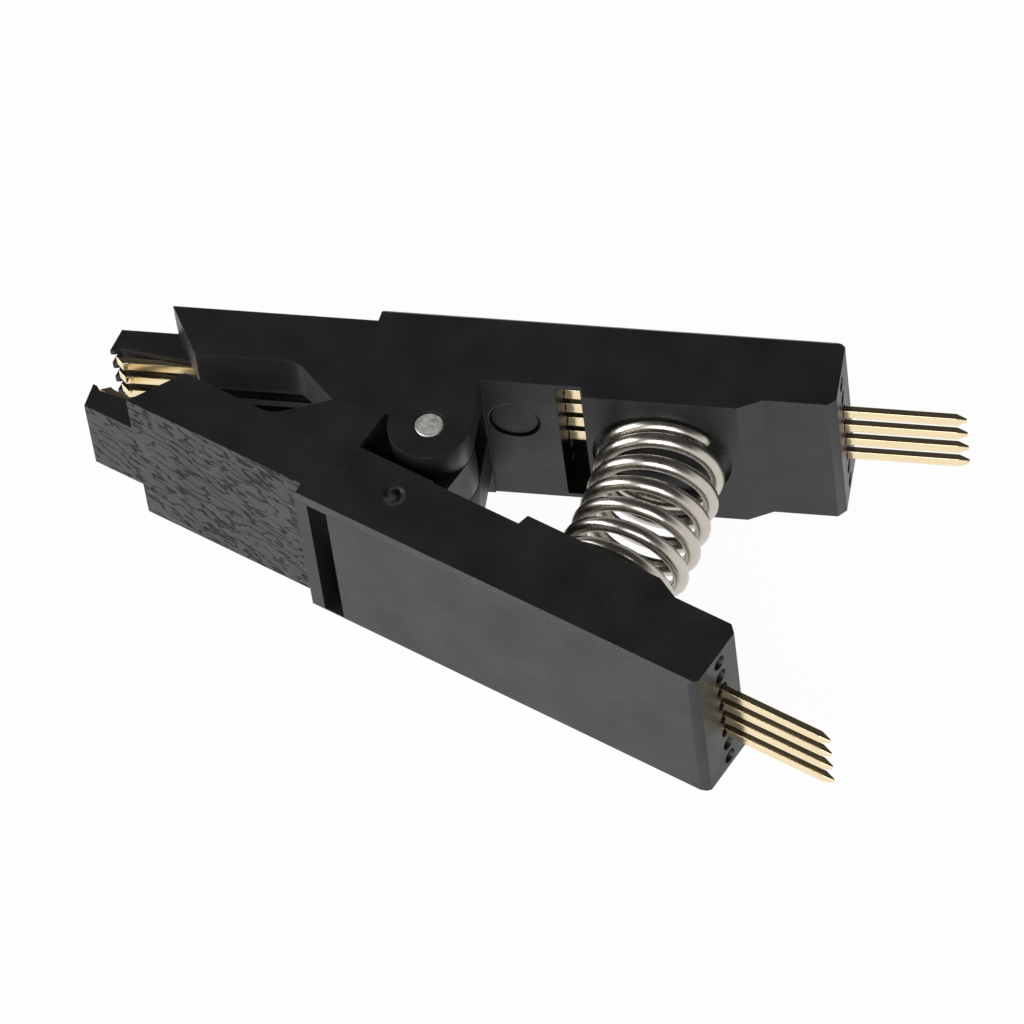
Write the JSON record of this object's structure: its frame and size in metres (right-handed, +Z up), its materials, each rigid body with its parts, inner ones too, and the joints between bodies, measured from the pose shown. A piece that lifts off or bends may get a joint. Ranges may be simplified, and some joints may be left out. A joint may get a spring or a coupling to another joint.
{
  "type": "ic test clip",
  "caption": "Spring-loaded test clip for a small-outline chip: black moulded arms on a steel pivot, a coil spring, gold contact strips in comb jaws and square tail pins.",
  "frame": {"origin": "on the pivot's axis, in the plane that the clip lies on", "axes": "+Z up along the pivot's axis; -X out of the jaws and +X towards the tail pins; +Y from arm_a to arm_b"},
  "size_m": [0.048, 0.0246, 0.0105],
  "materials": {
    "nylon": "satin black glass-filled nylon, grained on the grips",
    "pin_steel": "ground steel pin, bright end faces",
    "spring_steel": "drawn stainless wire, satin",
    "gold": "gold plating on phosphor bronze"
  },
  "bodies": {
    "half_a": {"arm_a": "nylon", "pivot_pin": "pin_steel", "spring": "spring_steel", "contact_a1": "gold", "contact_a2": "gold", "contact_a3": "gold", "contact_a4": "gold"},
    "half_b": {"arm_b": "nylon", "contact_b1": "gold", "contact_b2": "gold", "contact_b3": "gold", "contact_b4": "gold"}
  },
  "joints": [
    {"name": "pivot", "type": "hinge", "parent": "half_a", "child": "half_b", "pos_m": [0, 0, 0], "axis": [0, 0, -1], "range_deg": [0, 16], "stiffness_Nm_per_rad": 0.54, "deforming": ["spring"]}
  ]
}
